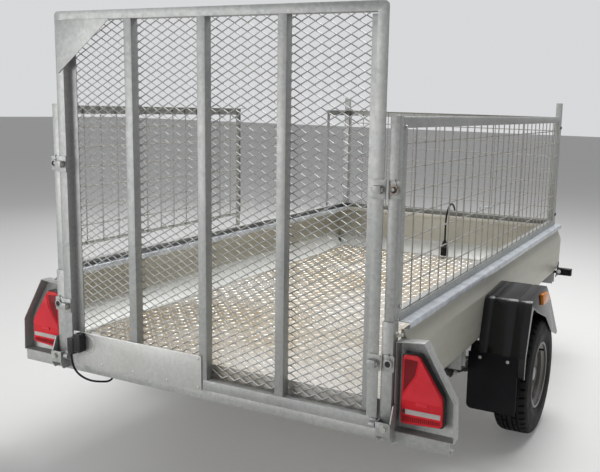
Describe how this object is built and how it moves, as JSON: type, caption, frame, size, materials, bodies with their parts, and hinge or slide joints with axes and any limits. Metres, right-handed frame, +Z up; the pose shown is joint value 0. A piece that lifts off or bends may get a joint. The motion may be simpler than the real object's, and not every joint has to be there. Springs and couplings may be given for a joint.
{
  "type": "utility trailer",
  "caption": "Galvanised box trailer with mesh side panels, a ramp tailgate, mudguards, drawbar and jockey wheel.",
  "frame": {"origin": "centre of the overall box on the ground", "axes": "+Y towards the coupling, +X to the trailer's right, +Z up"},
  "size_m": [1.724, 3.361, 1.57],
  "materials": {
    "galvanised": "dull weathered galvanising",
    "wall_sheet": "weathered coated sheet, satin",
    "kick_sheet": "pale coated sheet, satin",
    "floor_sheet": "tread plate, dusty",
    "mesh_wire": "weathered wire",
    "gate_mesh": "expanded metal, galvanised",
    "plate_sheet": "bare sheet",
    "rusty_steel": "rust over zinc",
    "zinc_bright": "zinc plated",
    "black_steel": "black paint, satin",
    "black_plastic": "moulded black",
    "plug_plastic": "moulded black",
    "flap_rubber": "moulded black",
    "cable_rubber": "black sheath",
    "jockey_rubber": "solid black",
    "tyre": "worn tread",
    "rim_paint": "silver paint",
    "lamp_lens": "ribbed red and amber",
    "amber_lens": "amber"
  },
  "bodies": {
    "chassis": {"floor_plate": "floor_sheet", "side_rails": "galvanised", "cross_members": "galvanised", "rear_crossbar": "galvanised", "side_wall_right": "wall_sheet", "side_wall_left": "wall_sheet", "front_board": "wall_sheet", "kick_strips": "kick_sheet", "post_sockets": "galvanised", "rear_posts": "galvanised", "front_posts": "galvanised", "side_frame_right": "galvanised", "side_frame_left": "galvanised", "front_frame": "galvanised", "side_mesh_right": "mesh_wire", "side_mesh_left": "mesh_wire", "front_mesh": "mesh_wire", "latch_catches": "rusty_steel", "lamp_housings": "galvanised", "tail_lamps": "lamp_lens", "axle_beam": "galvanised", "leaf_springs": "black_steel", "spring_hangers": "black_steel", "u_bolts": "zinc_bright", "mudguards": "black_plastic", "mud_flaps": "flap_rubber", "side_markers": "amber_lens", "front_markers": "black_plastic", "drawbar": "galvanised", "coupling_head": "zinc_bright", "coupling_lever": "zinc_bright", "jockey_clamp": "galvanised", "jockey_tube": "zinc_bright", "jockey_crank": "zinc_bright", "lamp_cable": "cable_rubber", "main_cable": "cable_rubber", "plug": "plug_plastic"},
    "tailgate": {"gate_frame": "galvanised", "gate_bars": "galvanised", "gate_mesh": "gate_mesh", "gate_gusset": "galvanised", "number_plate": "plate_sheet", "plate_lamp": "black_plastic", "gate_latches": "rusty_steel", "gate_knuckles": "galvanised"},
    "wheel_right": {"tyre_right": "tyre", "rim_right": "rim_paint", "hub_right": "galvanised"},
    "wheel_left": {"tyre_left": "tyre", "rim_left": "rim_paint", "hub_left": "galvanised"},
    "jockey_leg": {"jockey_inner": "zinc_bright"},
    "jockey_fork": {"jockey_fork": "galvanised"},
    "jockey_wheel": {"jockey_tyre": "jockey_rubber", "jockey_hub": "rim_paint"}
  },
  "joints": [
    {"name": "tailgate_hinge", "type": "hinge", "parent": "chassis", "child": "tailgate", "pos_m": [0, -1.6525, 0.4], "axis": [1, 0, 0], "range_deg": [0, 109], "deforming": ["lamp_cable"]},
    {"name": "wheel_right_spin", "type": "hinge", "parent": "chassis", "child": "wheel_right", "pos_m": [0.7695, -0.5565, 0.24], "axis": [1, 0, 0], "continuous": true},
    {"name": "wheel_left_spin", "type": "hinge", "parent": "chassis", "child": "wheel_left", "pos_m": [-0.7695, -0.5565, 0.24], "axis": [1, 0, 0], "continuous": true},
    {"name": "jockey_slide", "type": "slide", "parent": "chassis", "child": "jockey_leg", "axis": [0, 0, 1], "range_m": [0, 0.085]},
    {"name": "jockey_swivel", "type": "hinge", "parent": "jockey_leg", "child": "jockey_fork", "pos_m": [0, 1.2835, 0.23], "axis": [0, 0, 1], "continuous": true},
    {"name": "jockey_spin", "type": "hinge", "parent": "jockey_fork", "child": "jockey_wheel", "pos_m": [0, 1.2415, 0.1], "axis": [1, 0, 0], "continuous": true}
  ]
}
